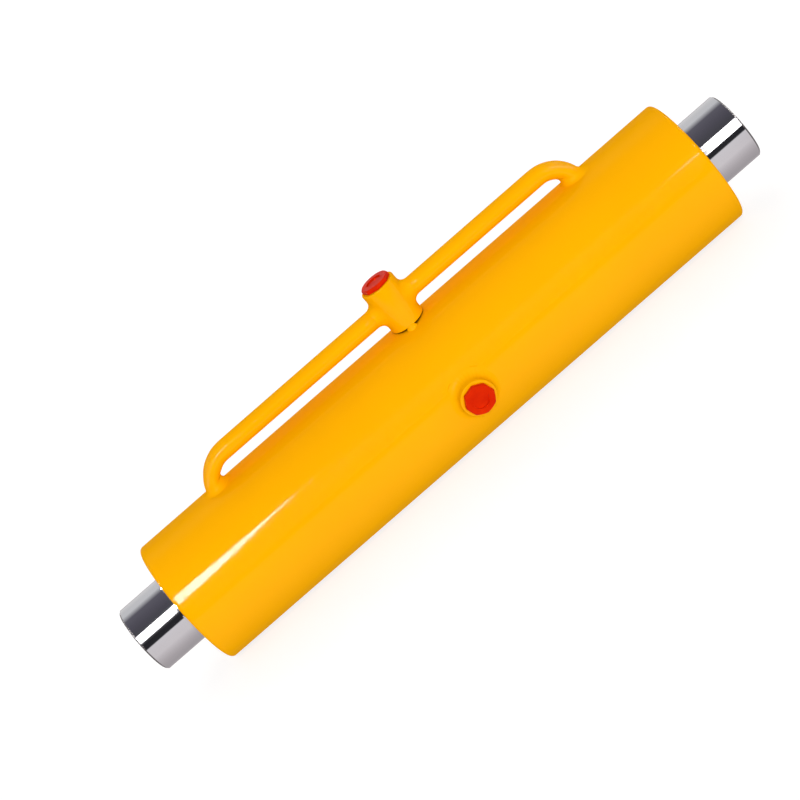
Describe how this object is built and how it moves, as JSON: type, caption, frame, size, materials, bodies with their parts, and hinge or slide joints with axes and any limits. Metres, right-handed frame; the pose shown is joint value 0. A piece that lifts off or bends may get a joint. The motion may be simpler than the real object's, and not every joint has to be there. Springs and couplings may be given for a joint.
{
  "type": "double-ended hydraulic cylinder",
  "caption": "Double-ended hydraulic cylinder: painted barrel, a chromed rod out of each end, a central port, and a tee whose bent transfer pipes feed both ends.",
  "frame": {"origin": "on the barrel's axis, midway between its end faces", "axes": "+X along the barrel's axis, +Z along the tee port's axis away from the barrel, with the centre port facing 5 degrees below -Y"},
  "size_m": [0.662, 0.1359, 0.1671],
  "materials": {
    "paint": "glossy yellow enamel over steel and welds",
    "chrome": "hard chrome, ground and polished",
    "steel": "turned steel",
    "seal": "blue polyurethane",
    "guide": "brown filled resin",
    "rubber": "black nitrile",
    "cap": "red moulded polyethylene"
  },
  "bodies": {
    "barrel": {"barrel_tube": "paint", "tee_block": "paint", "centre_port_boss": "paint", "transfer_pipe_left": "paint", "transfer_pipe_right": "paint", "pipe_foot_weld_left": "paint", "pipe_foot_weld_right": "paint", "tee_pipe_weld_left": "paint", "tee_pipe_weld_right": "paint", "tee_tack_weld": "paint", "port_boss_weld": "paint", "gland_left": "paint", "gland_right": "paint", "gland_o_ring_left": "rubber", "gland_o_ring_right": "rubber", "gland_backup_ring_left": "seal", "gland_backup_ring_right": "seal", "rod_wiper_left": "seal", "rod_wiper_right": "seal", "rod_seal_left": "seal", "rod_seal_right": "seal", "buffer_seal_left": "seal", "buffer_seal_right": "seal", "rod_guides_left": "guide", "rod_guides_right": "guide"},
    "rod_left": {"rod_left": "chrome", "piston_left": "steel", "piston_nut_left": "steel", "piston_seal_left": "seal", "seal_energizer_left": "rubber", "piston_guides_left": "guide", "rod_o_ring_left": "rubber"},
    "rod_right": {"rod_right": "chrome", "piston_right": "steel", "piston_nut_right": "steel", "piston_seal_right": "seal", "seal_energizer_right": "rubber", "piston_guides_right": "guide", "rod_o_ring_right": "rubber"},
    "centre_port_cap": {"centre_port_cap": "cap"},
    "tee_port_cap": {"tee_port_cap": "cap"}
  },
  "joints": [
    {"name": "rod_left_slide", "type": "slide", "parent": "barrel", "child": "rod_left", "axis": [-1, 0, 0], "range_m": [-0.004, 0.106]},
    {"name": "rod_right_slide", "type": "slide", "parent": "barrel", "child": "rod_right", "axis": [1, 0, 0], "range_m": [0, 0.11]},
    {"name": "tee_port_cap_pull", "type": "slide", "parent": "barrel", "child": "tee_port_cap", "axis": [0, 0, 1], "range_m": [0, 0.06]},
    {"name": "centre_port_cap_pull", "type": "slide", "parent": "barrel", "child": "centre_port_cap", "axis": [0, -0.9962, -0.0872], "range_m": [0, 0.06]}
  ]
}
